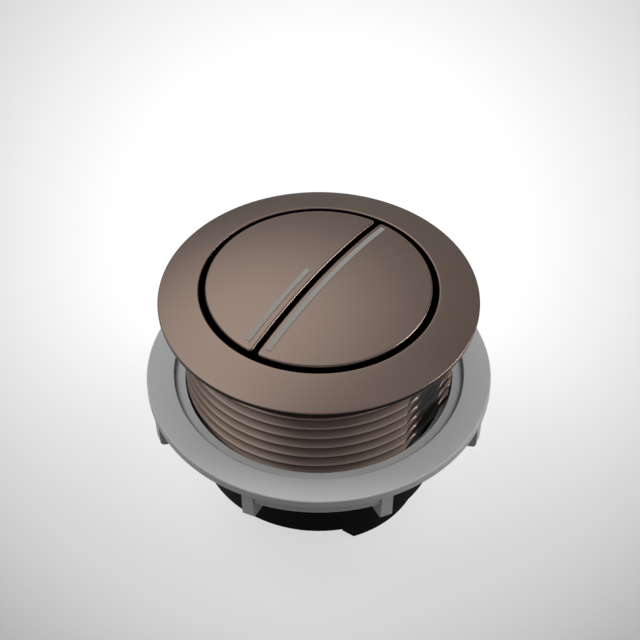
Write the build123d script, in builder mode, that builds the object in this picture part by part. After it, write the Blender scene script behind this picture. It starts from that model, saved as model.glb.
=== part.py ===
from build123d import *
from math import cos, radians, sin, sqrt, tan
import os

# A dual-flush push button for the lid of a cistern: a domed bezel with a threaded barrel,
# two half-disc buttons on sprung carriers, a lock nut with gussets, and a black inner body.
# Millimetres, Z up along the barrel's axis. Z = 0 is the plane of the two feet.
# The gap between the buttons runs along Y, and the full-flush button is on the +X side.

# Domed top, shared by the bezel and both buttons
flange_overhang = 5.1
dome_r = 120.0
rim_t = 0.9
edge_round = 0.35
button_edge_round = 0.5
ring_gap = 1.48
button_gap = 1.35
button_corner_r = 0.9

# Heights of the parts that stack from the feet up
foot_h = 8.4
collar_h = 9.6
barrel_len = 40.9

# Barrel and its thread
thread_crest_r = 32.4
thread_depth = 1.7
thread_pitch = 3.15
thread_crest_w = 0.5
thread_flank_deg = 30.0
thread_top_gap = 3.83
thread_end_gap = 2.0
barrel_wall = 2.85
barrel_flat_depth = 1.8
barrel_end_chamfer = 0.6

# Gasket under the flange
gasket_w = 3.7
gasket_t = 1.0

# Lock nut
lid_gap = 22.4
nut_flange_reach = 7.55
nut_flange_t = 2.2
nut_h = 11.8
nut_hub_wall = 1.8
nut_recess_margin = 0.85
nut_recess_d = 1.3
nut_recess_round = 1.0
nut_edge_round = 0.4
gusset_count = 8
gusset_w = 2.8
gusset_inset = 0.3
gusset_foot_inset = 0.45
gusset_drop = 7.75
gusset_corner_r = 1.3
gusset_start_deg = 10.0
gusset_sink = 1.0
web_h = 2.6
web_t = 1.8
web_inset = 0.75

# Housing
collar_inset = 0.7
sleeve_wall = 1.1
sleeve_rise = 8.5
ledge_w = 5.1
ledge_t = 2.5
nib_w = 8.0
nib_h = 3.8
nib_inset = 1.3
nib_rise = 6.4
boss_r = 3.2
boss_h = 8.0

# Guide frame
frame_wall = 2.6
foot_half_y = 16.2
deck_t = 2.5
guide_r = 7.0
guide_len = 12.5
rib_t = 1.6

# Guide screws
screw_shank_r = 1.45
screw_head_r = 2.6
screw_head_h = 1.8
screw_len = 9.0
screw_inset = 3.0
screw_angle_deg = 65.0
screw_slot_len = 3.4
screw_slot_w = 0.8
screw_slot_d = 0.9

# Caps
cap_wall = 1.6
cap_skirt_drop = 4.8
mark_w = 1.25
mark_rise = 0.15
mark_end_inset = 1.97
full_mark_x = 2.5
full_mark_far_inset = 1.72
half_mark_x = 3.0
half_mark_far_y = 0.3

# Carriers
carrier_inset = 0.37
carrier_t = 1.5
carrier_plug_h = 4.0
carrier_plug_wall = 1.6
spring_room = 15.5
stem_r = 5.0
stem_below_guide = 3.5
stem_socket_len = 26.0
guide_leg_at = (6.5, 13.0)
guide_leg_size = (4.0, 3.0)
guide_leg_below_deck = 4.5

# Retaining clips
clip_t = 0.9
clip_r = 7.2
clip_groove_depth = 0.8

# Push rods, their nuts and tips
rod_r = 3.0
rod_top_gap = 2.0
rod_nut_flats = 10.0
rod_nut_h = 5.0
tip_r = 4.5
tip_bottom_z = 1.5
tip_h = 6.0
tip_floor = 2.0
tip_round = 0.8

# Springs
spring_r = 6.6
spring_wire_r = 0.5
spring_turns = 6.0
spring_gap = 2.4

# Clearances
fit = 0.15
guide_fit = 0.05
slot_fit = 0.3
thread_fit = 0.3
seat_fit = 0.2
small_chamfer = 0.4

# Radii worked out from the thread's crest inwards and outwards
thread_root_r = thread_crest_r - thread_depth
barrel_flat_x = thread_crest_r - barrel_flat_depth
opening_r = thread_root_r - barrel_wall
button_r = opening_r - ring_gap
carrier_r = button_r - carrier_inset
sleeve_r = opening_r - fit
housing_r = thread_root_r - collar_inset
housing_bore_r = sleeve_r - sleeve_wall
ledge_bore_r = housing_bore_r - ledge_w
nib_reach_r = thread_root_r - nib_inset
frame_r = housing_bore_r - fit
bezel_r = thread_crest_r + flange_overhang
gasket_inner_r = thread_crest_r + thread_fit
gasket_outer_r = gasket_inner_r + gasket_w
nut_bore_r = thread_crest_r + thread_fit
nut_hub_r = nut_bore_r + nut_hub_wall
nut_recess_r = nut_hub_r + nut_recess_margin
nut_r = nut_hub_r + nut_flange_reach
gusset_outer_r = nut_r - gusset_inset
gusset_foot_r = nut_r - gusset_foot_inset
web_outer_r = nut_r - web_inset

# Heights worked out from the feet up to the rim, then down again inside
collar_z = foot_h
barrel_z = foot_h + collar_h
flange_z = barrel_z + barrel_len
rim_z = flange_z + rim_t
dome_centre_z = rim_z - sqrt(dome_r**2 - bezel_r**2)
cap_skirt_z = rim_z - cap_skirt_drop
carrier_z = cap_skirt_z - carrier_t
deck_top_z = carrier_z - spring_room
deck_z = deck_top_z - deck_t
sleeve_top_z = deck_top_z + sleeve_rise
guide_bottom_z = deck_top_z - guide_len
guide_leg_bottom_z = deck_z - guide_leg_below_deck
stem_bottom_z = guide_bottom_z - stem_below_guide
stem_socket_top_z = stem_bottom_z + stem_socket_len
rod_top_z = stem_socket_top_z - rod_top_gap
nib_z = barrel_z + nib_rise
nut_top_z = flange_z - gasket_t - lid_gap
nut_recess_z = nut_top_z - nut_recess_d
nut_flange_z = nut_top_z - nut_flange_t
nut_bottom_z = nut_top_z - nut_h
gusset_foot_z = nut_flange_z - gusset_drop

# Places across and along the gap, and the thread's rings from the top one down
stem_x = ledge_bore_r - spring_r - spring_wire_r - spring_gap
inner_edge = button_gap / 2
mark_near_y = mark_end_inset - button_r
full_mark_far_y = button_r - full_mark_far_inset
flank_run = tan(radians(thread_flank_deg))
ring_count = int((barrel_len - thread_top_gap - thread_end_gap) / thread_pitch) + 1
ring_heights = [flange_z - thread_top_gap - k * thread_pitch for k in reversed(range(ring_count))]
overshoot = 5.0
screw_circle_r = housing_bore_r - screw_inset
screw_points = [
    (screw_circle_r * cos(radians(a)), screw_circle_r * sin(radians(a)))
    for a in (screw_angle_deg, 180 - screw_angle_deg, 180 + screw_angle_deg, -screw_angle_deg)
]

os.makedirs("parts", exist_ok=True)


def dome_z(r):
    """Height of the domed top at a distance from the axis."""
    return dome_centre_z + sqrt(dome_r**2 - r**2)


def circles_at(shape, radius, z):
    """The shape's circular edges of one radius at one height."""
    rings = shape.edges().filter_by(GeomType.CIRCLE)
    return rings.filter_by(lambda e: abs(e.radius - radius) < 0.01 and abs(e.center().Z - z) < 0.05)


def half_disc(radius, straight, side, corner=0.0):
    """Sketch of the half disc that lies beyond a straight edge on one side of the gap."""
    Circle(radius)
    with Locations((side * (straight + radius / 2), 0)):
        Rectangle(radius, 2 * radius, mode=Mode.INTERSECT)
    if corner:
        fillet(vertices(), corner)


def save(part, name):
    """Labels a finished piece and writes it."""
    part.label = name
    export_step(part, f"parts/{name}.step")


def ridge_outline(centre_z, root_r, crest_r, crest_w):
    """The four points of one thread ridge, from its lower flank to its upper one."""
    run = crest_w / 2 + abs(crest_r - root_r) * flank_run
    return [
        (root_r, centre_z - run),
        (crest_r, centre_z - crest_w / 2),
        (crest_r, centre_z + crest_w / 2),
        (root_r, centre_z + run),
    ]


# Bezel: flange and threaded barrel turned as one section, then the flats and snap windows
barrel_points = [(opening_r, barrel_z), (thread_root_r - barrel_end_chamfer, barrel_z)]
barrel_points.append((thread_root_r, barrel_z + barrel_end_chamfer))
for ring in ring_heights:
    barrel_points += ridge_outline(ring, thread_root_r, thread_crest_r, thread_crest_w)
barrel_points += [(thread_root_r, flange_z), (bezel_r, flange_z), (bezel_r, rim_z)]
dome_mid_r = (bezel_r + opening_r) / 2

with BuildPart() as bezel:
    with BuildSketch(Plane.XZ):
        with BuildLine():
            Polyline(*barrel_points)
            ThreePointArc(
                (bezel_r, rim_z), (dome_mid_r, dome_z(dome_mid_r)), (opening_r, dome_z(opening_r))
            )
            Line((opening_r, dome_z(opening_r)), (opening_r, barrel_z))
        make_face()
    revolve(axis=Axis.Z)
    fillet(circles_at(bezel, opening_r, dome_z(opening_r)), edge_round)
    fillet(circles_at(bezel, bezel_r, rim_z), edge_round)
    with BuildSketch(Plane.XY.offset(barrel_z)):
        with Locations((barrel_flat_x + overshoot / 2, 0), (-barrel_flat_x - overshoot / 2, 0)):
            Rectangle(overshoot, 2 * thread_crest_r)
    extrude(amount=barrel_len, mode=Mode.SUBTRACT)
    window_h = nib_h + slot_fit + fit
    window_z = nib_z + (window_h - 2 * fit) / 2
    with Locations((0, thread_root_r, window_z), (0, -thread_root_r, window_z)):
        Box(nib_w + 2 * slot_fit, 2 * overshoot, window_h, mode=Mode.SUBTRACT)

save(bezel.part, "bezel")

# Flange gasket
with BuildPart() as flange_gasket:
    with BuildSketch(Plane.XY.offset(flange_z)):
        Circle(gasket_outer_r)
        Circle(gasket_inner_r, mode=Mode.SUBTRACT)
    extrude(amount=-gasket_t)

save(flange_gasket.part, "flange_gasket")

# Lock nut: one gusset and one web first, then the turned body that takes eight and four of them
nut_crest_r = thread_root_r + thread_fit
nut_ridge_base = thread_pitch - thread_crest_w + 2 * thread_fit * flank_run - 2 * thread_fit
nut_crest_w = nut_ridge_base - 2 * (nut_bore_r - nut_crest_r) * flank_run
nut_ridge_heights = [
    ring - thread_pitch / 2
    for ring in ring_heights
    if nut_bottom_z + nut_ridge_base / 2 < ring - thread_pitch / 2 < nut_recess_z - nut_ridge_base / 2
]

with BuildPart() as gusset:
    with BuildSketch(Plane.XZ):
        with BuildLine():
            Polyline(
                (nut_hub_r - gusset_sink, nut_flange_z),
                (gusset_outer_r, nut_flange_z),
                (gusset_foot_r, gusset_foot_z),
                (nut_hub_r, nut_bottom_z),
                (nut_hub_r - gusset_sink, nut_bottom_z),
                close=True,
            )
        make_face()
        low_corners = vertices().filter_by(lambda v: v.Y < nut_flange_z - gusset_sink)
        fillet(low_corners.sort_by(Axis.X)[-1], gusset_corner_r)
    extrude(amount=gusset_w / 2, both=True)

gusset_step = 360.0 / gusset_count
with BuildPart() as web:
    with BuildSketch(Plane.XY.offset(nut_flange_z)):
        Circle(web_outer_r)
        Circle(web_outer_r - web_t, mode=Mode.SUBTRACT)
        with BuildLine():
            Polyline(
                (0, 0),
                (2 * nut_r, 0),
                (2 * nut_r * cos(radians(gusset_step)), 2 * nut_r * sin(radians(gusset_step))),
                close=True,
            )
        make_face(mode=Mode.INTERSECT)
    extrude(amount=-web_h)

with BuildPart() as lock_nut:
    with BuildSketch(Plane.XZ):
        with BuildLine():
            Polyline(
                (nut_bore_r, nut_bottom_z),
                (nut_hub_r, nut_bottom_z),
                (nut_hub_r, nut_flange_z),
                (nut_r, nut_flange_z),
                (nut_r, nut_top_z),
                (nut_recess_r, nut_top_z),
                (nut_recess_r, nut_recess_z),
                (nut_bore_r, nut_recess_z),
                close=True,
            )
        make_face()
    revolve(axis=Axis.Z)
    fillet(circles_at(lock_nut, nut_recess_r, nut_recess_z), nut_recess_round)
    fillet(circles_at(lock_nut, nut_r, nut_top_z), nut_edge_round)
    fillet(circles_at(lock_nut, nut_recess_r, nut_top_z), nut_edge_round / 2)
    for ridge_z in nut_ridge_heights:
        with BuildSketch(Plane.XZ):
            with BuildLine():
                Polyline(*ridge_outline(ridge_z, nut_bore_r, nut_crest_r, nut_crest_w), close=True)
            make_face()
        revolve(axis=Axis.Z)
    with PolarLocations(0, gusset_count, start_angle=gusset_start_deg):
        add(gusset.part)
    with PolarLocations(0, gusset_count // 2, start_angle=gusset_start_deg):
        add(web.part)

save(lock_nut.part, "lock_nut")

# Housing: collar, sleeve, inner ledge, snap nibs and screw bosses
with BuildPart() as housing:
    with BuildSketch(Plane.XZ):
        with BuildLine():
            Polyline(
                (housing_bore_r, collar_z),
                (housing_r - small_chamfer, collar_z),
                (housing_r, collar_z + small_chamfer),
                (housing_r, barrel_z),
                (sleeve_r, barrel_z),
                (sleeve_r, sleeve_top_z),
                (housing_bore_r, sleeve_top_z),
                (housing_bore_r, deck_top_z + ledge_t),
                (ledge_bore_r, deck_top_z + ledge_t),
                (ledge_bore_r, deck_top_z),
                (housing_bore_r, deck_top_z),
                close=True,
            )
        make_face()
    revolve(axis=Axis.Z)
    with BuildSketch(Plane.YZ):
        with BuildLine():
            nib_root = (sleeve_r + housing_bore_r) / 2
            Polyline(
                (nib_root, nib_z),
                (nib_reach_r, nib_z),
                (nib_reach_r, nib_z + nib_h / 3),
                (sleeve_r, nib_z + nib_h),
                (nib_root, nib_z + nib_h),
                close=True,
            )
        make_face()
        mirror(about=Plane.YZ)
    extrude(amount=nib_w / 2, both=True)
    with BuildSketch(Plane.XY.offset(deck_top_z)):
        with Locations(*screw_points):
            Circle(boss_r)
        Circle(sleeve_r, mode=Mode.INTERSECT)
    extrude(amount=boss_h)
    with BuildSketch(Plane.XY.offset(deck_top_z)):
        with Locations(*screw_points):
            Circle(screw_shank_r + guide_fit)
    extrude(amount=screw_len - deck_t + small_chamfer, mode=Mode.SUBTRACT)

save(housing.part, "housing")

# Guide frame: deck, two guide tubes, ribs, and the two walls that end as feet
with BuildPart() as guide_frame:
    with BuildSketch():
        Circle(frame_r)
        Circle(frame_r - frame_wall, mode=Mode.SUBTRACT)
        Rectangle(2 * frame_r, 2 * foot_half_y, mode=Mode.INTERSECT)
    extrude(amount=deck_top_z)
    with BuildSketch(Plane.XY.offset(deck_z)):
        Circle(frame_r)
    extrude(amount=deck_t)
    with BuildSketch(Plane.XY.offset(guide_bottom_z)):
        with Locations((stem_x, 0), (-stem_x, 0)):
            Circle(guide_r)
        Rectangle(2 * (frame_r - frame_wall / 2), rib_t)
    extrude(amount=deck_z - guide_bottom_z)
    with BuildSketch(Plane.XY.offset(guide_bottom_z)):
        with Locations((stem_x, 0), (-stem_x, 0)):
            Circle(stem_r + guide_fit)
    extrude(amount=deck_top_z - guide_bottom_z, mode=Mode.SUBTRACT)
    with BuildSketch(Plane.XY.offset(deck_z)):
        with GridLocations(2 * guide_leg_at[0], 2 * guide_leg_at[1], 2, 2):
            Rectangle(guide_leg_size[0] + 2 * slot_fit, guide_leg_size[1] + 2 * slot_fit)
        with Locations(*screw_points):
            Circle(screw_shank_r + fit)
    extrude(amount=deck_t, mode=Mode.SUBTRACT)

save(guide_frame.part, "guide_frame")

# Guide screws, heads under the deck and points up in the housing's bosses
with BuildPart() as guide_screws:
    with BuildSketch(Plane.XY.offset(deck_z - screw_head_h)):
        with Locations(*screw_points):
            Circle(screw_head_r)
    extrude(amount=screw_head_h)
    with BuildSketch(Plane.XY.offset(deck_z)):
        with Locations(*screw_points):
            Circle(screw_shank_r)
    extrude(amount=screw_len)
    fillet(circles_at(guide_screws, screw_head_r, deck_z - screw_head_h), small_chamfer)
    chamfer(circles_at(guide_screws, screw_shank_r, deck_z + screw_len), small_chamfer)
    with BuildSketch(Plane.XY.offset(deck_z - screw_head_h)):
        with Locations(*screw_points):
            Rectangle(screw_slot_len, screw_slot_w)
            Rectangle(screw_slot_w, screw_slot_len)
    extrude(amount=screw_slot_d, mode=Mode.SUBTRACT)

save(guide_screws.part, "guide_screws")

# Tools for the caps: the solid under the dome, a lower one for hollows and a higher one for bars
dome_solid = Pos(0, 0, dome_centre_z) * Sphere(dome_r)
hollow_dome = Pos(0, 0, dome_centre_z) * Sphere(dome_r - cap_wall)
mark_dome = Pos(0, 0, dome_centre_z) * Sphere(dome_r + mark_rise)
cap_room = dome_z(0) - cap_skirt_z + overshoot


def button_cap(name, side, mark_x, mark_far_y):
    """One half-disc cap with its skirt and the low raised bar on its top."""
    with BuildPart() as hollow:
        with BuildSketch(Plane.XY.offset(cap_skirt_z)):
            half_disc(button_r - cap_wall, inner_edge + cap_wall, side)
        extrude(amount=cap_room)
        add(hollow_dome, mode=Mode.INTERSECT)
    with BuildPart() as mark:
        with BuildSketch(Plane.XY.offset(cap_skirt_z)):
            with Locations((side * mark_x, (mark_near_y + mark_far_y) / 2)):
                Rectangle(mark_w, mark_far_y - mark_near_y)
        extrude(amount=cap_room)
        add(mark_dome, mode=Mode.INTERSECT)
    with BuildPart() as cap:
        with BuildSketch(Plane.XY.offset(cap_skirt_z)):
            half_disc(button_r, inner_edge, side, button_corner_r)
        extrude(amount=cap_room)
        add(dome_solid, mode=Mode.INTERSECT)
        fillet(cap.faces().sort_by(Axis.Z)[-1].edges(), button_edge_round)
        add(mark.part)
        add(hollow.part, mode=Mode.SUBTRACT)
    save(cap.part, name)


def button_carrier(name, side):
    """Frame under a cap: plate, plug that fills the cap's skirt, stem, clip groove and guide legs."""
    plug_r = button_r - cap_wall - fit
    plug_edge = inner_edge + cap_wall + fit
    plate_edge = inner_edge + button_r - carrier_r
    clip_top_z = guide_bottom_z
    with BuildPart() as carrier:
        with BuildSketch(Plane.XY.offset(carrier_z)):
            half_disc(carrier_r, plate_edge, side)
        extrude(amount=carrier_t)
        with BuildSketch(Plane.XY.offset(cap_skirt_z)):
            half_disc(plug_r, plug_edge, side)
            inner_r = plug_r - carrier_plug_wall
            Circle(inner_r, mode=Mode.SUBTRACT)
            wall_x = plug_edge + carrier_plug_wall / 2
            with Locations((side * wall_x, 0)):
                Rectangle(carrier_plug_wall, 2 * inner_r)
            with Locations((side * (plug_edge + plug_r) / 2, 0)):
                Rectangle(plug_r - plug_edge - carrier_plug_wall / 2, rib_t)
        extrude(amount=carrier_plug_h)
        with BuildSketch(Plane.XY.offset(stem_bottom_z)):
            with Locations((side * stem_x, 0)):
                Circle(stem_r)
        extrude(amount=carrier_z - stem_bottom_z)
        with BuildSketch(Plane.XY.offset(guide_leg_bottom_z)):
            with Locations(
                (side * guide_leg_at[0], guide_leg_at[1]), (side * guide_leg_at[0], -guide_leg_at[1])
            ):
                Rectangle(*guide_leg_size)
        extrude(amount=carrier_z - guide_leg_bottom_z)
        with BuildSketch(Plane.XY.offset(stem_bottom_z)):
            with Locations((side * stem_x, 0)):
                Circle(rod_r + guide_fit)
        extrude(amount=stem_socket_top_z - stem_bottom_z, mode=Mode.SUBTRACT)
        with BuildSketch(Plane.XY.offset(clip_top_z - clip_t)):
            with Locations((side * stem_x, 0)):
                Circle(stem_r + overshoot)
                Circle(stem_r - clip_groove_depth, mode=Mode.SUBTRACT)
        extrude(amount=clip_t, mode=Mode.SUBTRACT)
    save(carrier.part, name)


def retaining_clip(name, side):
    """Flat clip in the stem's groove, open on the side away from the other button."""
    with BuildPart() as clip:
        with BuildSketch(Plane.XY.offset(guide_bottom_z - clip_t)):
            with Locations((side * stem_x, 0)):
                Circle(clip_r)
                Circle(stem_r - clip_groove_depth + guide_fit, mode=Mode.SUBTRACT)
            with Locations((side * (stem_x + clip_r / 2), 0)):
                Rectangle(clip_r, stem_r, mode=Mode.SUBTRACT)
        extrude(amount=clip_t)
    save(clip.part, name)


def push_rod(name, side):
    """Threaded rod from the stem's socket down to its soft tip."""
    with BuildPart() as rod:
        with BuildSketch(Plane.XY.offset(tip_bottom_z + tip_floor)):
            with Locations((side * stem_x, 0)):
                Circle(rod_r)
        extrude(amount=rod_top_z - tip_bottom_z - tip_floor)
        chamfer(rod.edges().filter_by(GeomType.CIRCLE), small_chamfer)
    save(rod.part, name)


def rod_nut(name, side):
    """Hexagon nut against the stem's lower end."""
    with BuildPart() as nut:
        with BuildSketch(Plane.XY.offset(stem_bottom_z)):
            with Locations((side * stem_x, 0)):
                RegularPolygon(rod_nut_flats / 2, 6, major_radius=False)
                Circle(rod_r + guide_fit, mode=Mode.SUBTRACT)
        extrude(amount=-rod_nut_h)
    save(nut.part, name)


def rod_tip(name, side):
    """Soft cup on the rod's lower end."""
    with BuildPart() as tip:
        with BuildSketch(Plane.XY.offset(tip_bottom_z)):
            with Locations((side * stem_x, 0)):
                Circle(tip_r)
        extrude(amount=tip_h)
        fillet(circles_at(tip, tip_r, tip_bottom_z), tip_round)
        with BuildSketch(Plane.XY.offset(tip_bottom_z + tip_floor)):
            with Locations((side * stem_x, 0)):
                Circle(rod_r + guide_fit)
        extrude(amount=tip_h - tip_floor, mode=Mode.SUBTRACT)
    save(tip.part, name)


def return_spring(name, side):
    """Round-wire spring around the stem, between the deck and the carrier's plate."""
    low = deck_top_z + seat_fit + spring_wire_r
    high = carrier_z - seat_fit - spring_wire_r
    with BuildPart() as spring:
        with BuildLine() as coil:
            Helix((high - low) / spring_turns, high - low, spring_r, center=(side * stem_x, 0, low))
        with BuildSketch(Plane(origin=coil.line @ 0, z_dir=coil.line % 0)):
            Circle(spring_wire_r)
        sweep(path=coil.line, is_frenet=True)
    save(spring.part, name)


for button, direction in (("full_flush", 1), ("half_flush", -1)):
    button_carrier(f"{button}_carrier", direction)
    retaining_clip(f"{button}_clip", direction)
    push_rod(f"{button}_rod", direction)
    rod_nut(f"{button}_rod_nut", direction)
    rod_tip(f"{button}_rod_tip", direction)
    return_spring(f"{button}_spring", direction)

button_cap("full_flush_cap", 1, full_mark_x, full_mark_far_y)
button_cap("half_flush_cap", -1, half_mark_x, half_mark_far_y)
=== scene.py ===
import math

import bmesh
import bpy
import numpy as np
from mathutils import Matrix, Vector


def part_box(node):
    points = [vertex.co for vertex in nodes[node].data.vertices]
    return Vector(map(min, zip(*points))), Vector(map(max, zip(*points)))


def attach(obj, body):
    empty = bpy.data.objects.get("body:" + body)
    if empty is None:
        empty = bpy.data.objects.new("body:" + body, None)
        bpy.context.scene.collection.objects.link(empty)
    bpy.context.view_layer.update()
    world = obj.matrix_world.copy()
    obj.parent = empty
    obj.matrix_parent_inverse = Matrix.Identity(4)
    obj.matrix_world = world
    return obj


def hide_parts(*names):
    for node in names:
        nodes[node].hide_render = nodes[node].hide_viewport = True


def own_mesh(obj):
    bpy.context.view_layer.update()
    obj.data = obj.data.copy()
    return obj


# Look of a dual-flush push button for a cistern lid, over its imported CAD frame.
# The frame and Blender are in metres with Z up; sizes named here are in millimetres.

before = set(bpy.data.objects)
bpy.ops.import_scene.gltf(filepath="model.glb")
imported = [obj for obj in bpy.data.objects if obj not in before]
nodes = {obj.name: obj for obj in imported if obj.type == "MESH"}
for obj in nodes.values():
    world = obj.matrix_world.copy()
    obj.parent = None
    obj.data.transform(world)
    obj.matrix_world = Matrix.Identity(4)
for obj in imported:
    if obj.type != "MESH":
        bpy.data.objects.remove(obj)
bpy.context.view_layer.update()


MM = 0.001
SIDES = ("full_flush", "half_flush")


def node_span(node, axis):
    """Lowest and highest place of a CAD node along X, Y or Z, in millimetres."""
    low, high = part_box(node)
    return low[axis] / MM, high[axis] / MM


# Bezel, read from the frame where its box gives the size
BEZEL_R = node_span("bezel", 0)[1]
BARREL_Z = node_span("bezel", 2)[0]
GASKET_Z, FLANGE_Z = node_span("flange_gasket", 2)
RIM_T = 0.9
DOME_R = 120.0
OPENING_R = 27.85
EDGE_ROUND = 0.35
CAP_EDGE_ROUND = 0.5
ROUNDING_STEPS = 12
DOME_RINGS = 24
DOME_MARGIN = 0.8
SECTION_RUN = 3.0
OPENING_LIP = 1.0
RIM_Z = FLANGE_Z + RIM_T
DOME_CENTRE_Z = RIM_Z - math.sqrt(DOME_R**2 - BEZEL_R**2)

# Raised bars on the caps, from low to high X and from low to high Y, and their two greys
LONG_BAR = (1.86, 3.14, -24.42, 24.67)
SHORT_BAR = (-3.64, -2.36, -24.42, 0.32)
BAR_GREYS = ((0.202, 0.194, 0.178), (0.214, 0.206, 0.189))

# Thread of the barrel: one right-hand helix with a flat on two sides
THREAD_CREST_R = 32.4
THREAD_ROOT_R = 30.7
THREAD_PITCH = 3.15
THREAD_HALF_CREST = 0.25
THREAD_CREST_Z = 42.47
THREAD_CREST_AZ = -56.5
THREAD_FLANK_DEG = 30.0
BARREL_FLAT_X = 30.6
BARREL_CHAMFER = 0.6
NO_LIMIT = 1000.0
SHOULDER_SAMPLES = 400

# Spans of the coat's painted shade and painted highlight, as radii from the axis and depths under the
# dome
FLANK_R = (30.7, 31.9)
CREST_EDGE_R = (32.0, 32.15)
OUTER_RIM_R = (34.0, 35.0)
OPENING_WALL_DEPTH = (1.6, 2.0)
# Where an edge turns into a painted-shade wall, as shares of its rounding, and how much sooner on the
# outer rim
WALL_SHARES = (0.95, 1.35)
RIM_LEAD_SHARE = 0.8

# Rods and springs under each button
ROD_PITCH = 1.0
ROD_THREAD_DEPTH = 0.61
ROD_HALF_CREST = 0.06
ROD_CHAMFER = 0.4
SPRING_WIRE_R = 0.5
SPRING_TURNS = 6.6
SPRING_DEAD_TURNS = 0.9
SPRING_POINTS_PER_TURN = 40
SPRING_WIRE_SIDES = 12


def dome_z(r):
    """Height of the domed top at a distance from the axis."""
    return DOME_CENTRE_Z + math.sqrt(DOME_R**2 - r * r)


# Meshes


def finished_mesh(name, verts, faces, sharp_deg=32.0, merge=2e-7):
    """Object from points in metres, merged, outward and smooth but for its sharp edges."""
    mesh = bpy.data.meshes.new(name)
    mesh.from_pydata([tuple(v) for v in verts], [], faces)
    bm = bmesh.new()
    bm.from_mesh(mesh)
    bmesh.ops.remove_doubles(bm, verts=bm.verts, dist=merge)
    bmesh.ops.dissolve_degenerate(bm, edges=bm.edges, dist=merge)
    bmesh.ops.recalc_face_normals(bm, faces=bm.faces)
    bm.to_mesh(mesh)
    bm.free()
    for polygon in mesh.polygons:
        polygon.use_smooth = True
    mesh.set_sharp_from_angle(angle=math.radians(sharp_deg))
    mesh.update()
    piece = bpy.data.objects.new(name, mesh)
    bpy.context.scene.collection.objects.link(piece)
    return piece


def grid_faces(columns, rows):
    """Quads between neighbouring columns of a grid whose rows close on themselves."""
    faces = []
    for column in range(columns - 1):
        for row in range(rows):
            a = column * rows + row
            b = column * rows + (row + 1) % rows
            faces.append((a, a + rows, b + rows, b))
    return faces


def round_corner(before, corner, after, radius, steps=ROUNDING_STEPS):
    """Points of a small rounding at the middle one of three section points."""
    p0, p1, p2 = Vector(before), Vector(corner), Vector(after)
    a, b = (p0 - p1).normalized(), (p2 - p1).normalized()
    half = a.angle(b) / 2
    reach = radius / math.tan(half)
    middle = p1 + (a + b).normalized() * (radius / math.sin(half))
    start, end = p1 + a * reach - middle, p1 + b * reach - middle
    turn = start.angle_signed(end)
    points = []
    for k in range(steps + 1):
        t = -turn * k / steps
        c, s = math.cos(t), math.sin(t)
        points.append(
            (middle.x + start.x * c - start.y * s, middle.y + start.x * s + start.y * c)
        )
    return points


class Thread:
    """Section of a right-hand thread: its radii, pitch, half crest and the place of one crest."""

    SOFT_SHARE = 0.14
    SOFT_DROP = 1.6
    SOFT_RUN = 1.5

    def __init__(self, crest_r, root_r, pitch, half_crest, crest_z, crest_az):
        self.crest_r = crest_r
        self.root_r = root_r
        self.pitch = pitch
        self.half_crest = half_crest
        self.crest_z = crest_z
        self.crest_az = crest_az
        self.depth = crest_r - root_r
        self.soft = self.SOFT_SHARE * self.depth
        self.foot = half_crest + self.depth * math.tan(math.radians(THREAD_FLANK_DEG))

    def corners(self):
        """Distances from the crest to the end of the crest, both ends of the flank, and the root."""
        return [self.half_crest * 0.5, self.half_crest + self.soft, self.foot - self.soft,
                self.foot + self.SOFT_RUN * self.soft]

    def radius(self, away):
        """Radius at a distance along the axis from the middle of the crest."""
        drop = self.SOFT_DROP * self.soft
        radii = [self.crest_r, self.crest_r, self.crest_r - drop, self.root_r + drop, self.root_r]
        return np.interp(away, [0.0] + self.corners(), radii)

    def marks(self):
        """Distances from the crest at which the section has a row of points."""
        return [corner for corner in self.corners() if corner < self.pitch / 2]


def threaded_turning(name, thread, low, high, top, bottom, flat=None, step_deg=1.0, centre_x=0.0):
    """Turned piece with a thread from low to high. top and bottom are the rest of its section."""
    marks = thread.marks()
    angles = list(np.arange(-180.0, 180.0 + 1e-9, step_deg))
    if flat:
        for r in (thread.crest_r, thread.root_r):
            edge = math.degrees(math.acos(flat / r))
            angles += [edge, -edge, 180 - edge, edge - 180]
    angles = sorted(set(round(a, 5) for a in angles))
    first = math.floor((low - thread.crest_z) / thread.pitch) - 2
    last = math.ceil((high - thread.crest_z) / thread.pitch) + 2
    verts = []
    for angle in angles:
        t = math.radians(angle)
        crest_z = thread.crest_z + thread.pitch * (angle - thread.crest_az) / 360.0
        limit = flat / abs(math.cos(t)) if flat and abs(math.cos(t)) > 0.1 else NO_LIMIT
        shoulder = 0.0
        if limit < thread.crest_r:
            away = np.linspace(0, thread.foot + 2 * thread.soft, SHOULDER_SAMPLES)
            heights = thread.radius(away)
            shoulder = float(np.interp(-max(limit, thread.root_r), -heights, away))
        around = [-max(mark, shoulder) for mark in reversed(marks)] + [0.0]
        around += [max(mark, shoulder) for mark in marks] + [thread.pitch / 2]
        zs = [crest_z + k * thread.pitch + u for k in range(first, last + 1) for u in around]
        zs = np.clip(np.array(zs), low, high)
        away = np.abs((zs - crest_z + thread.pitch / 2) % thread.pitch - thread.pitch / 2)
        radii = np.minimum(thread.radius(away), limit)
        section = [(min(thread.root_r, limit), low)]
        section += list(zip(radii, zs))
        section += [(min(thread.root_r, limit), high)]
        section += top
        section += [(min(r, limit) if z < low else r, z) for r, z in bottom]
        c, s = math.cos(t), math.sin(t)
        verts += [((centre_x + r * c) * MM, r * s * MM, z * MM) for r, z in section]
    return finished_mesh(name, verts, grid_faces(len(angles), len(section)))


# Materials


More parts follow.
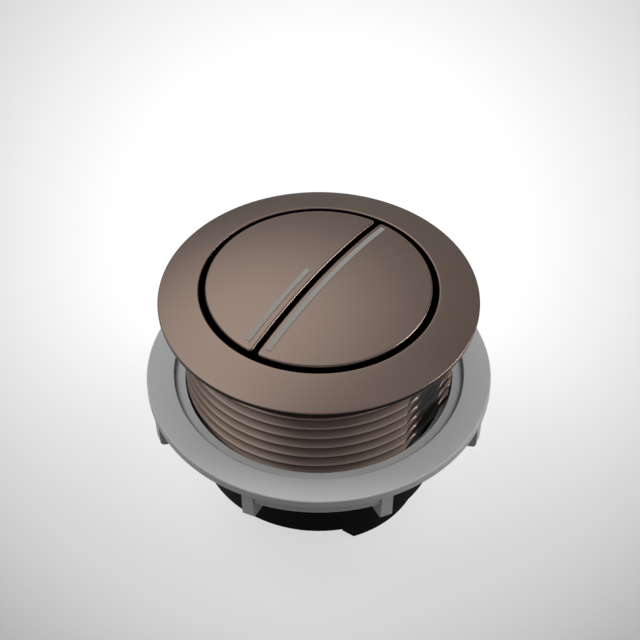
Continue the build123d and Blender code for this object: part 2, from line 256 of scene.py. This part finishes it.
def new_material(name):
    """Empty principled material, with its tree, shader and the piece's own coordinates."""
    material = bpy.data.materials.new(name)
    material.use_nodes = True
    tree = material.node_tree
    tree.nodes.clear()
    out = tree.nodes.new("ShaderNodeOutputMaterial")
    shader = tree.nodes.new("ShaderNodeBsdfPrincipled")
    tree.links.new(shader.outputs["BSDF"], out.inputs["Surface"])
    coords = tree.nodes.new("ShaderNodeTexCoord")
    return material, tree, shader, coords.outputs["Object"]


def fill(tree, socket, value):
    """Links an output to a socket, or writes a plain value there."""
    if isinstance(value, bpy.types.NodeSocket):
        tree.links.new(value, socket)
    else:
        socket.default_value = value


def maths(tree, operation, first, second=0.0):
    node = tree.nodes.new("ShaderNodeMath")
    node.operation = operation
    fill(tree, node.inputs[0], first)
    fill(tree, node.inputs[1], second)
    return node.outputs[0]


def vector_maths(tree, operation, first, second, output="Vector"):
    node = tree.nodes.new("ShaderNodeVectorMath")
    node.operation = operation
    fill(tree, node.inputs[0], first)
    fill(tree, node.inputs[1], second)
    return node.outputs[output]


def noise(tree, place, waves_per_metre, detail=2.0, stretch=None):
    if stretch:
        mapping = tree.nodes.new("ShaderNodeMapping")
        mapping.inputs["Scale"].default_value = stretch
        tree.links.new(place, mapping.inputs["Vector"])
        place = mapping.outputs["Vector"]
    node = tree.nodes.new("ShaderNodeTexNoise")
    node.inputs["Scale"].default_value = waves_per_metre
    node.inputs["Detail"].default_value = detail
    tree.links.new(place, node.inputs["Vector"])
    return node.outputs["Fac"]


def spread(tree, value, low, high, from_low=0.3, from_high=0.7, smooth=False):
    """A value moved from one range to another and held at its ends."""
    node = tree.nodes.new("ShaderNodeMapRange")
    if smooth:
        node.interpolation_type = "SMOOTHSTEP"
    node.inputs["From Min"].default_value = from_low
    node.inputs["From Max"].default_value = from_high
    node.inputs["To Min"].default_value = low
    node.inputs["To Max"].default_value = high
    tree.links.new(value, node.inputs["Value"])
    return node.outputs["Result"]


def blended(tree, factor, first, second):
    """Colour mix; each side is a colour or an output."""
    node = tree.nodes.new("ShaderNodeMix")
    node.data_type = "RGBA"
    for socket, value in ((node.inputs[6], first), (node.inputs[7], second)):
        fill(tree, socket, value if isinstance(value, bpy.types.NodeSocket) else (*value, 1.0))
    tree.links.new(factor, node.inputs[0])
    return node.outputs[2]


def bumped(tree, shader, height, strength, distance_mm):
    node = tree.nodes.new("ShaderNodeBump")
    node.inputs["Strength"].default_value = strength
    node.inputs["Distance"].default_value = distance_mm * MM
    tree.links.new(height, node.inputs["Height"])
    tree.links.new(node.outputs["Normal"], shader.inputs["Normal"])


def inside_rectangle(tree, place, rectangle, edge_mm):
    """1 inside (low x, high x, low y, high y) of the piece's own coordinates, with a soft edge."""
    split = tree.nodes.new("ShaderNodeSeparateXYZ")
    tree.links.new(place, split.inputs["Vector"])
    inside = []
    for axis, low, high in (("X", *rectangle[:2]), ("Y", *rectangle[2:])):
        away = maths(tree, "SUBTRACT", split.outputs[axis], (low + high) / 2 * MM)
        half = (high - low) / 2
        reach = maths(tree, "ABSOLUTE", away)
        inside.append(spread(tree, reach, 1.0, 0.0, (half - edge_mm) * MM, (half + edge_mm) * MM))
    return maths(tree, "MULTIPLY", *inside)


def length_of(tree, vector):
    node = tree.nodes.new("ShaderNodeVectorMath")
    node.operation = "LENGTH"
    tree.links.new(vector, node.inputs[0])
    return node.outputs["Value"]


def below_dome(tree, place):
    """How far a point lies under the sphere of the domed top, in metres."""
    away = vector_maths(tree, "SUBTRACT", place, (0.0, 0.0, DOME_CENTRE_Z * MM))
    return maths(tree, "SUBTRACT", DOME_R * MM, length_of(tree, away))


def from_axis(tree, place):
    """Distance of a point from the barrel's axis, in metres."""
    return length_of(tree, vector_maths(tree, "MULTIPLY", place, (1.0, 1.0, 0.0)))


def facing_up(tree):
    """Upward part of the surface's own direction: 1 on a level face, 0 on a wall."""
    split = tree.nodes.new("ShaderNodeSeparateXYZ")
    direction = tree.nodes.new("ShaderNodeTexCoord").outputs["Normal"]
    tree.links.new(direction, split.inputs["Vector"])
    return split.outputs["Z"]


# Colours of the bronze coat, from its open faces through painted shade and highlight to the deepest
# walls
COAT_FACES = ((0.320, 0.239, 0.199), (0.340, 0.253, 0.211))
COAT_PAINTED_ROOT_SHADE = (0.110, 0.082, 0.068)
COAT_PAINTED_CREST_HIGHLIGHT = (0.500, 0.380, 0.320)
COAT_PAINTED_STEEP_SHADE = (0.045, 0.034, 0.029)
COAT_PAINTED_DEEP_SHADE = (0.010, 0.008, 0.007)
COAT_ROUGHNESS = (0.24, 0.28)
# Upward parts of the surface's direction between which painted shade gives way to the coat's full
# colour
PAINTED_SHADE_SLOPES = (0.05, 0.40)
BAR_EDGE = 0.03
BAR_EXTRA_ROUGHNESS = 0.35


def through_span(tree, value, span):
    """0 to 1 as a length in metres passes through a span that is given in millimetres."""
    return spread(tree, value, 0.0, 1.0, span[0] * MM, span[1] * MM)


def bronze_coating(name, edge_round, bar=None):
    """Satin bronze coat with painted shade on walls and in the thread's roots, and painted crest
    highlights.
    """
    material, tree, shader, place = new_material(name)
    cloud = noise(tree, place, 90.0, 3.0)
    grain = noise(tree, place, 5200.0)
    depth = below_dome(tree, place)
    radius = from_axis(tree, place)
    face = blended(tree, cloud, *COAT_FACES)
    # Painted shade darkens the thread's flanks towards the roots; a painted highlight lightens the
    # crest edges
    flank = blended(tree, through_span(tree, radius, FLANK_R), COAT_PAINTED_ROOT_SHADE, face)
    flank = blended(tree, through_span(tree, radius, CREST_EDGE_R), flank, COAT_PAINTED_CREST_HIGHLIGHT)
    # Painted shade on steep and downward-facing faces
    full_colour = spread(tree, facing_up(tree), 0.0, 1.0, *PAINTED_SHADE_SLOPES)
    wall = blended(tree, full_colour, COAT_PAINTED_STEEP_SHADE, flank)
    # Darker painted shade deep under the dome, in the gaps and down the bore
    wall = blended(tree, through_span(tree, depth, OPENING_WALL_DEPTH), COAT_PAINTED_DEEP_SHADE, wall)
    # Walls under each edge's rounding take the painted shade, sooner on the outer rim
    rim_lead = RIM_LEAD_SHARE * edge_round * MM
    sooner = spread(tree, radius, 0.0, rim_lead, *(r * MM for r in OUTER_RIM_R))
    edge_depth = maths(tree, "ADD", depth, sooner)
    on_wall = through_span(tree, edge_depth, [share * edge_round for share in WALL_SHARES])
    colour = blended(tree, on_wall, face, wall)
    rough = spread(tree, cloud, *COAT_ROUGHNESS)
    if bar:
        on_bar = inside_rectangle(tree, place, bar, BAR_EDGE)
        colour = blended(tree, on_bar, colour, blended(tree, cloud, *BAR_GREYS))
        rough = maths(tree, "ADD", rough, maths(tree, "MULTIPLY", on_bar, BAR_EXTRA_ROUGHNESS))
        tree.links.new(maths(tree, "SUBTRACT", 1.0, on_bar), shader.inputs["Metallic"])
    else:
        shader.inputs["Metallic"].default_value = 1.0
    tree.links.new(colour, shader.inputs["Base Color"])
    tree.links.new(rough, shader.inputs["Roughness"])
    bumped(tree, shader, grain, 0.06, 0.03)
    return material


def moulded(name, dark, light, rough, specular, grain=0.12):
    """Moulded plastic or rubber with a fine grain."""
    material, tree, shader, place = new_material(name)
    cloud = noise(tree, place, 60.0, 3.0)
    fine = noise(tree, place, 3500.0)
    tree.links.new(blended(tree, cloud, dark, light), shader.inputs["Base Color"])
    tree.links.new(spread(tree, cloud, rough - 0.03, rough + 0.03), shader.inputs["Roughness"])
    shader.inputs["Specular IOR Level"].default_value = specular
    bumped(tree, shader, fine, grain, 0.05)
    return material


def drawn_steel(name, dark, light, rough):
    """Bright steel with faint streaks along Z."""
    material, tree, shader, place = new_material(name)
    streaks = noise(tree, place, 900.0, stretch=(1.0, 1.0, 0.15))
    tree.links.new(blended(tree, streaks, dark, light), shader.inputs["Base Color"])
    tree.links.new(spread(tree, streaks, rough - 0.06, rough + 0.06), shader.inputs["Roughness"])
    shader.inputs["Metallic"].default_value = 1.0
    bumped(tree, shader, streaks, 0.05, 0.03)
    return material


bronze = bronze_coating("bronze_coating", EDGE_ROUND)
long_bar_bronze = bronze_coating("bronze_with_long_bar", CAP_EDGE_ROUND, LONG_BAR)
short_bar_bronze = bronze_coating("bronze_with_short_bar", CAP_EDGE_ROUND, SHORT_BAR)
grey = moulded("grey_moulding", (0.428, 0.426, 0.426), (0.452, 0.450, 0.450), 0.55, 0.4)
black = moulded("black_moulding", (0.0020, 0.0020, 0.0020), (0.0026, 0.0026, 0.0026), 0.5, 0.02)
rubber = moulded("black_rubber", (0.005, 0.005, 0.005), (0.007, 0.007, 0.007), 0.75, 0.15)
steel = drawn_steel("drawn_steel", (0.50, 0.50, 0.51), (0.62, 0.62, 0.63), 0.28)
spring_steel = drawn_steel("spring_steel", (0.40, 0.40, 0.41), (0.52, 0.52, 0.53), 0.32)

FINISHES = {
    "full_flush_cap": long_bar_bronze,
    "half_flush_cap": short_bar_bronze,
    "lock_nut": grey,
    "flange_gasket": rubber,
    "housing": black,
    "guide_frame": black,
    "guide_screws": steel,
}
for side in SIDES:
    FINISHES[f"{side}_carrier"] = black
    FINISHES[f"{side}_clip"] = spring_steel
    FINISHES[f"{side}_rod_nut"] = steel
    FINISHES[f"{side}_rod_tip"] = rubber
for name, material in FINISHES.items():
    nodes[name].data.materials.clear()
    nodes[name].data.materials.append(material)


def dress(piece, node, body, material):
    """Puts a piece made here in the place of one CAD node."""
    piece.data.materials.clear()
    piece.data.materials.append(material)
    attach(piece, body)
    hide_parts(node)


# Bezel, turned in one section with its helical thread


def bezel_top():
    """Section from under the flange over the rim and the dome, and down the bore."""
    inner_top = dome_z(OPENING_R)
    outer_run = BEZEL_R - SECTION_RUN
    inner_run = OPENING_R + SECTION_RUN
    points = [(BEZEL_R, FLANGE_Z)]
    points += round_corner(
        (BEZEL_R, FLANGE_Z), (BEZEL_R, RIM_Z), (outer_run, dome_z(outer_run)), EDGE_ROUND
    )
    rings = np.linspace(BEZEL_R - DOME_MARGIN, OPENING_R + DOME_MARGIN, DOME_RINGS)
    points += [(r, dome_z(r)) for r in rings]
    points += round_corner(
        (inner_run, dome_z(inner_run)), (OPENING_R, inner_top), (OPENING_R, inner_top - SECTION_RUN),
        EDGE_ROUND,
    )
    return points + [(OPENING_R, inner_top - OPENING_LIP)]


barrel_thread = Thread(
    THREAD_CREST_R, THREAD_ROOT_R, THREAD_PITCH, THREAD_HALF_CREST, THREAD_CREST_Z, THREAD_CREST_AZ
)
bezel_turned = threaded_turning(
    "bezel_turned", barrel_thread, BARREL_Z + BARREL_CHAMFER, GASKET_Z - BARREL_CHAMFER,
    [(THREAD_ROOT_R, FLANGE_Z)] + bezel_top(),
    [(OPENING_R, BARREL_Z), (THREAD_ROOT_R - BARREL_CHAMFER, BARREL_Z)],
    flat=BARREL_FLAT_X,
)
dress(bezel_turned, "bezel", "body", bronze)


# Push rods with their fine thread


def threaded_rod(side):
    node = f"{side}_rod"
    low_x, high_x = node_span(node, 0)
    low, high = node_span(node, 2)
    crest_r = (high_x - low_x) / 2
    thread = Thread(
        crest_r, crest_r - ROD_THREAD_DEPTH, ROD_PITCH, ROD_HALF_CREST, (low + high) / 2, 0.0
    )
    end_r = thread.root_r - ROD_CHAMFER
    rod = threaded_turning(
        f"{node}_threaded", thread, low + ROD_CHAMFER, high - ROD_CHAMFER,
        [(end_r, high), (0.0, high)], [(0.0, low), (end_r, low)],
        step_deg=7.5, centre_x=(low_x + high_x) / 2,
    )
    dress(rod, node, side, steel)


# Return springs, wound by one geometry tree with a closed turn at each end


def coil_tree():
    """Geometry tree that winds a wire round Z between two heights."""
    tree = bpy.data.node_groups.new("wound_spring", "GeometryNodeTree")
    sockets = {}
    for name in ("Coil Radius", "Wire Radius", "Turns", "Dead Turns", "Low", "High", "Centre X"):
        socket = tree.interface.new_socket(name, in_out="INPUT", socket_type="NodeSocketFloat")
        sockets[name] = socket.identifier
    wire = tree.interface.new_socket("Wire", in_out="INPUT", socket_type="NodeSocketMaterial")
    sockets["Wire"] = wire.identifier
    tree.interface.new_socket("Geometry", in_out="OUTPUT", socket_type="NodeSocketGeometry")
    given = tree.nodes.new("NodeGroupInput").outputs

    line = tree.nodes.new("GeometryNodeCurvePrimitiveLine")
    points = tree.nodes.new("GeometryNodeResampleCurve")
    count = maths(tree, "MULTIPLY", given["Turns"], float(SPRING_POINTS_PER_TURN))
    tree.links.new(line.outputs["Curve"], points.inputs["Curve"])
    tree.links.new(count, points.inputs["Count"])
    index = tree.nodes.new("GeometryNodeInputIndex").outputs["Index"]
    share = maths(tree, "DIVIDE", index, maths(tree, "SUBTRACT", count, 1.0))
    turn = maths(tree, "MULTIPLY", share, given["Turns"])
    angle = maths(tree, "MULTIPLY", turn, math.tau)

    wire_d = maths(tree, "MULTIPLY", given["Wire Radius"], 2.0)
    dead = given["Dead Turns"]
    live = maths(tree, "SUBTRACT", given["Turns"], maths(tree, "MULTIPLY", dead, 2.0))
    travel = maths(tree, "SUBTRACT", given["High"], given["Low"])
    closed = maths(tree, "MULTIPLY", maths(tree, "MULTIPLY", dead, 2.0), wire_d)
    pitch = maths(tree, "DIVIDE", maths(tree, "SUBTRACT", travel, closed), live)
    lower = maths(tree, "MINIMUM", turn, dead)
    upper = maths(tree, "MAXIMUM", maths(tree, "SUBTRACT", turn, maths(tree, "ADD", dead, live)), 0.0)
    between = maths(tree, "SUBTRACT", maths(tree, "SUBTRACT", turn, lower), upper)
    rise = maths(tree, "MULTIPLY", maths(tree, "ADD", lower, upper), wire_d)
    rise = maths(tree, "ADD", rise, maths(tree, "MULTIPLY", between, pitch))

    place = tree.nodes.new("ShaderNodeCombineXYZ")
    x = maths(tree, "MULTIPLY", maths(tree, "COSINE", angle), given["Coil Radius"])
    tree.links.new(maths(tree, "ADD", x, given["Centre X"]), place.inputs["X"])
    y = maths(tree, "MULTIPLY", maths(tree, "SINE", angle), given["Coil Radius"])
    tree.links.new(y, place.inputs["Y"])
    tree.links.new(maths(tree, "ADD", given["Low"], rise), place.inputs["Z"])
    wound = tree.nodes.new("GeometryNodeSetPosition")
    tree.links.new(points.outputs["Curve"], wound.inputs["Geometry"])
    tree.links.new(place.outputs["Vector"], wound.inputs["Position"])

    ring = tree.nodes.new("GeometryNodeCurvePrimitiveCircle")
    ring.inputs["Resolution"].default_value = SPRING_WIRE_SIDES
    tree.links.new(given["Wire Radius"], ring.inputs["Radius"])
    tube = tree.nodes.new("GeometryNodeCurveToMesh")
    tube.inputs["Fill Caps"].default_value = True
    tree.links.new(wound.outputs["Geometry"], tube.inputs["Curve"])
    tree.links.new(ring.outputs["Curve"], tube.inputs["Profile Curve"])
    real = tree.nodes.new("GeometryNodeRealizeInstances")
    tree.links.new(tube.outputs["Mesh"], real.inputs["Geometry"])
    full_colour = tree.nodes.new("GeometryNodeSetMaterial")
    tree.links.new(real.outputs["Geometry"], full_colour.inputs["Geometry"])
    tree.links.new(given["Wire"], full_colour.inputs["Material"])
    out = tree.nodes.new("NodeGroupOutput")
    tree.links.new(full_colour.outputs["Geometry"], out.inputs["Geometry"])
    return tree, sockets


spring_tree, spring_sockets = coil_tree()


def wound_spring(side):
    node = f"{side}_spring"
    low_x, high_x = node_span(node, 0)
    low, high = node_span(node, 2)
    maker = bpy.data.objects.new(f"{node}_maker", bpy.data.meshes.new(f"{node}_maker"))
    bpy.context.scene.collection.objects.link(maker)
    winding = maker.modifiers.new("winding", "NODES")
    winding.node_group = spring_tree
    sizes = {
        "Coil Radius": (high_x - low_x) / 2 - SPRING_WIRE_R,
        "Wire Radius": SPRING_WIRE_R,
        "Low": low + SPRING_WIRE_R,
        "High": high - SPRING_WIRE_R,
        "Centre X": (low_x + high_x) / 2,
    }
    for name, size in sizes.items():
        winding[spring_sockets[name]] = size * MM
    winding[spring_sockets["Turns"]] = SPRING_TURNS
    winding[spring_sockets["Dead Turns"]] = SPRING_DEAD_TURNS
    winding[spring_sockets["Wire"]] = spring_steel
    wound = maker.evaluated_get(bpy.context.evaluated_depsgraph_get())
    mesh = bpy.data.meshes.new_from_object(wound)
    bpy.data.objects.remove(maker)
    for polygon in mesh.polygons:
        polygon.use_smooth = True
    mesh.set_sharp_from_angle(angle=math.radians(50.0))
    spring = bpy.data.objects.new(f"{node}_wound", mesh)
    bpy.context.scene.collection.objects.link(spring)
    dress(spring, node, "body", spring_steel)
    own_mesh(spring)


for side in SIDES:
    threaded_rod(side)
    wound_spring(side)


# Studio: a floor with a painted, glowing pool of light that falls off to grey, a soft sky and five soft
# lamps

CAMERA_TURN = math.radians(33.0)
CAMERA_PITCH = 0.7749
CAMERA_PLACE = (129.25, -198.5, 283.2)
FOCAL_PIXELS = 1397.84
IMAGE_PIXELS = 640.0

# Painted pool of light on the floor, in metres: its half sizes, how far ahead it lies, and the way
# ahead on which it doubles in width, held between a least and a most
POOL_REACH = (0.1, 0.150)
POOL_AHEAD = 0.0856
POOL_WIDENING = 0.466
POOL_WIDTHS = (0.5, 2.0)
# Its paleness at the middle, its fall with the reach and the power of that fall
POOL_PALE = 1.13
POOL_FALL = 0.446
POOL_POWER = 1.467
FAR_GREY = 0.44
FLOOR_HALF = 4.0
# Share of the floor's paleness that the lamps make, and what the floor throws back on the part
FLOOR_LIT_SHARE = 0.25
FLOOR_BOUNCE = 0.12

# Sky: its least strength, the fall from its pale side, and a bright part high on the left
SKY_LEAST = 0.2
SKY_AHEAD = (116.4, 39.7)
SKY_SLOPE = 0.815
SKY_DROP = 0.437
SKY_LEFT = (162.2, 54.2)
SKY_LEFT_EDGE = 0.619
SKY_LEFT_GAIN = 5.55
# Paler patches that the thread's flanks mirror: place, strength, and cosines at edge and middle
SKY_PATCHES = (((22.0, 52.0), 0.36, 0.80, 0.95), ((226.0, 50.0), 0.55, 0.83, 0.97))

# Softboxes: azimuth, elevation, distance, width and height in metres, power in watts, and
# whether the gloss mirrors them. They aim at a place above the floor, in millimetres
LAMPS = {
    "left_softbox": (222.0, 42.0, 1.0, 1.0, 0.7, 1.3, False),
    "right_softbox": (18.0, 42.0, 1.0, 0.7, 0.6, 1.3, False),
    "right_strip": (34.0, 17.0, 1.0, 0.62, 0.22, 2.6, True),
    "left_fill": (204.0, 58.0, 1.1, 0.6, 0.6, 4.6, False),
    "right_fill": (36.0, 58.0, 1.1, 0.6, 0.6, 4.3, False),
}
LAMP_AIM_Z = 40.0


def floor_material():
    """Floor with a painted, glowing pool of light for camera and reflections, darker for the light it
    throws up.
    """
    material, tree, shader, place = new_material("studio_floor")
    mapping = tree.nodes.new("ShaderNodeMapping")
    mapping.vector_type = "TEXTURE"
    mapping.inputs["Rotation"].default_value = (0.0, 0.0, CAMERA_TURN)
    tree.links.new(place, mapping.inputs["Vector"])
    split = tree.nodes.new("ShaderNodeSeparateXYZ")
    tree.links.new(mapping.outputs["Vector"], split.inputs["Vector"])
    across, ahead = split.outputs["X"], split.outputs["Y"]
    wide = maths(tree, "ADD", maths(tree, "DIVIDE", ahead, POOL_WIDENING), 1.0)
    wide = maths(tree, "MINIMUM", maths(tree, "MAXIMUM", wide, POOL_WIDTHS[0]), POOL_WIDTHS[1])
    across = maths(tree, "DIVIDE", across, POOL_REACH[0])
    ahead = maths(tree, "DIVIDE", maths(tree, "SUBTRACT", ahead, POOL_AHEAD), POOL_REACH[1])
    squares = [maths(tree, "MULTIPLY", share, share) for share in (across, ahead)]
    reach = maths(tree, "DIVIDE", maths(tree, "SQRT", maths(tree, "ADD", *squares)), wide)
    fall = maths(tree, "MULTIPLY", maths(tree, "POWER", reach, POOL_POWER), POOL_FALL)
    # The floor's paleness is a painted pool of light; most of it glows and the lamps light the rest
    pale = maths(tree, "SUBTRACT", POOL_PALE, fall)
    pale = maths(tree, "MAXIMUM", maths(tree, "MINIMUM", pale, 1.0), FAR_GREY)
    paths = tree.nodes.new("ShaderNodeLightPath")
    seen = maths(tree, "MAXIMUM", paths.outputs["Is Camera Ray"], paths.outputs["Is Glossy Ray"])
    seen = maths(tree, "MAXIMUM", seen, paths.outputs["Is Transmission Ray"])
    tone = tree.nodes.new("ShaderNodeCombineColor")
    lit = tree.nodes.new("ShaderNodeCombineColor")
    for channel in ("Red", "Green", "Blue"):
        tree.links.new(pale, tone.inputs[channel])
        tree.links.new(maths(tree, "MULTIPLY", pale, FLOOR_LIT_SHARE), lit.inputs[channel])
    colour = blended(tree, seen, (FLOOR_BOUNCE,) * 3, lit.outputs["Color"])
    tree.links.new(colour, shader.inputs["Base Color"])
    tree.links.new(tone.outputs["Color"], shader.inputs["Emission Color"])
    glow = maths(tree, "MULTIPLY", seen, 1.0 - FLOOR_LIT_SHARE)
    tree.links.new(glow, shader.inputs["Emission Strength"])
    shader.inputs["Roughness"].default_value = 1.0
    shader.inputs["Specular IOR Level"].default_value = 0.0
    return material


floor_mesh = bpy.data.meshes.new("studio_floor")
floor_corners = [(x * FLOOR_HALF, y * FLOOR_HALF, 0.0) for x, y in ((-1, -1), (1, -1), (1, 1), (-1, 1))]
floor_mesh.from_pydata(floor_corners, [], [(0, 1, 2, 3)])
floor_mesh.materials.append(floor_material())
floor = bpy.data.objects.new("studio_floor", floor_mesh)
bpy.context.scene.collection.objects.link(floor)


def way_to(azimuth, elevation):
    """Unit vector towards an azimuth from +X and an elevation, both in degrees."""
    a, e = math.radians(azimuth), math.radians(elevation)
    return Vector((math.cos(e) * math.cos(a), math.cos(e) * math.sin(a), math.sin(e)))


def soft_lamp(name, azimuth, elevation, distance, width, height, power, mirrored):
    """Softbox aimed at the part. An unmirrored one lights it without showing in its gloss."""
    data = bpy.data.lights.new(name, "AREA")
    data.shape = "RECTANGLE"
    data.size = width
    data.size_y = height
    data.energy = power
    lamp = bpy.data.objects.new(name, data)
    bpy.context.scene.collection.objects.link(lamp)
    way = way_to(azimuth, elevation)
    lamp.location = way * distance + Vector((0, 0, LAMP_AIM_Z * MM))
    lamp.rotation_euler = way.to_track_quat("Z", "Y").to_euler()
    lamp.visible_glossy = mirrored


def soft_sky():
    """World light: dim all round, paler towards the far side and in three parts high above."""
    world = bpy.data.worlds.new("soft_sky")
    bpy.context.scene.world = world
    world.use_nodes = True
    tree = world.node_tree
    background = tree.nodes["Background"]
    way = tree.nodes.new("ShaderNodeTexCoord").outputs["Generated"]

    def towards(place):
        return vector_maths(tree, "DOT_PRODUCT", way, tuple(way_to(*place)), "Value")

    pale = maths(tree, "MULTIPLY", towards(SKY_AHEAD), SKY_SLOPE)
    pale = maths(tree, "SUBTRACT", pale, SKY_DROP)
    for place, strength, edge, middle in SKY_PATCHES:
        patch = spread(tree, towards(place), SKY_LEAST, strength, edge, middle, smooth=True)
        pale = maths(tree, "MAXIMUM", pale, patch)
    inside = maths(tree, "MAXIMUM", maths(tree, "SUBTRACT", towards(SKY_LEFT), SKY_LEFT_EDGE), 0.0)
    bright = maths(tree, "MULTIPLY", maths(tree, "MULTIPLY", inside, inside), SKY_LEFT_GAIN)
    background.inputs["Color"].default_value = (1.0, 1.0, 1.0, 1.0)
    tree.links.new(maths(tree, "ADD", bright, pale), background.inputs["Strength"])


soft_sky()
for name, lamp_values in LAMPS.items():
    soft_lamp(name, *lamp_values)

camera_data = bpy.data.cameras.new("camera")
camera_data.sensor_width = 36.0
camera_data.lens = FOCAL_PIXELS / IMAGE_PIXELS * camera_data.sensor_width
camera = bpy.data.objects.new("camera", camera_data)
bpy.context.scene.collection.objects.link(camera)
camera.location = Vector(CAMERA_PLACE) * MM
camera.rotation_euler = (math.pi / 2 - CAMERA_PITCH, 0.0, CAMERA_TURN)
bpy.context.scene.camera = camera
bpy.context.scene.view_settings.view_transform = "Standard"
